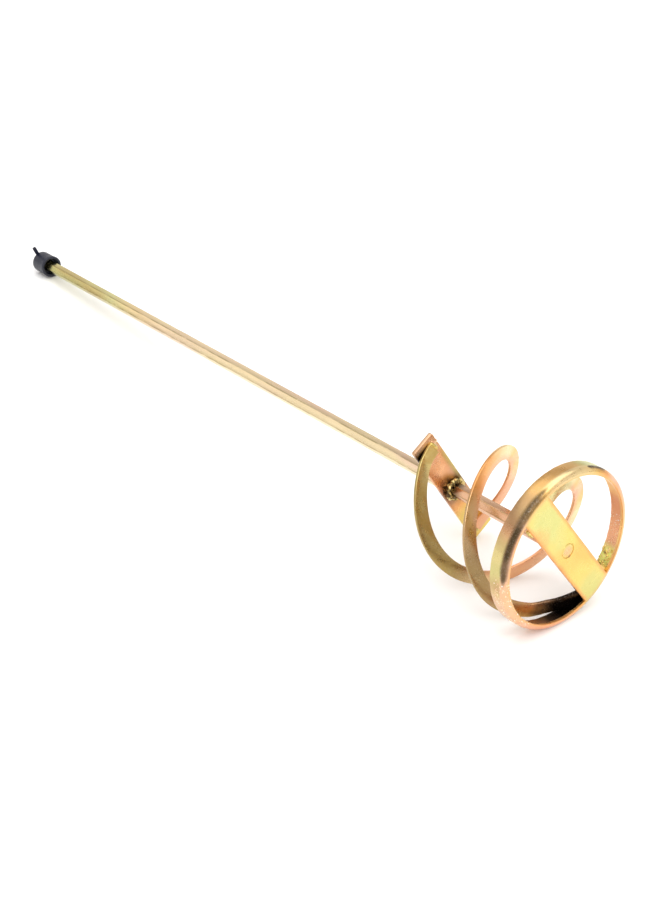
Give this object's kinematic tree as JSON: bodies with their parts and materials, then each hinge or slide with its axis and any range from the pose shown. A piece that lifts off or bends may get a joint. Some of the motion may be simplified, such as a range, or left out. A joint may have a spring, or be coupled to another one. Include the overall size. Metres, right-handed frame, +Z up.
{
  "type": "mortar mixing paddle",
  "caption": "Steel mixing paddle: hex shaft, flanged base ring with a cross bar, two helical strips up to a top bar, and a push-on shank cap.",
  "frame": {"origin": "bottom centre of the bounding box of the paddle as it lies at rest on its ring, its top bar's corner and its shank cap", "axes": "+X along the shaft's length, from the ring to the shank cap, and 4.2 degrees above the shaft; +Z up from the surface it lies on; +Y across the ring"},
  "size_m": [0.5824, 0.1, 0.1002],
  "materials": {
    "plated_shaft": "yellow zinc plating with pink and olive tints, drawn bar",
    "plated_ring": "yellow zinc plating with rainbow tints, pressed sheet",
    "plated_bar": "yellow zinc plating with pink and olive tints, flat bar",
    "plated_strip": "yellow zinc plating with rainbow tints, twisted strip",
    "weld_steel": "plated weld metal, lumpy and dull",
    "cap_plastic": "soft black polyethylene, slightly glossy"
  },
  "bodies": {
    "root": {"base_ring": "plated_ring", "hex_shaft": "plated_shaft", "top_crossbar": "plated_bar", "mixing_strip_a": "plated_strip", "mixing_strip_b": "plated_strip", "weld_shaft_base": "weld_steel", "weld_shaft_crossbar": "weld_steel", "weld_strip_a_top": "weld_steel", "weld_strip_a_base": "weld_steel", "weld_strip_b_top": "weld_steel", "weld_strip_b_base": "weld_steel", "weld_strip_b_ring": "weld_steel"},
    "cap": {"shank_cap": "cap_plastic"}
  },
  "joints": [
    {"name": "cap_pull", "type": "slide", "parent": "root", "child": "cap", "axis": [0.9973, 0, -0.0733], "range_m": [0, 0.03]}
  ]
}
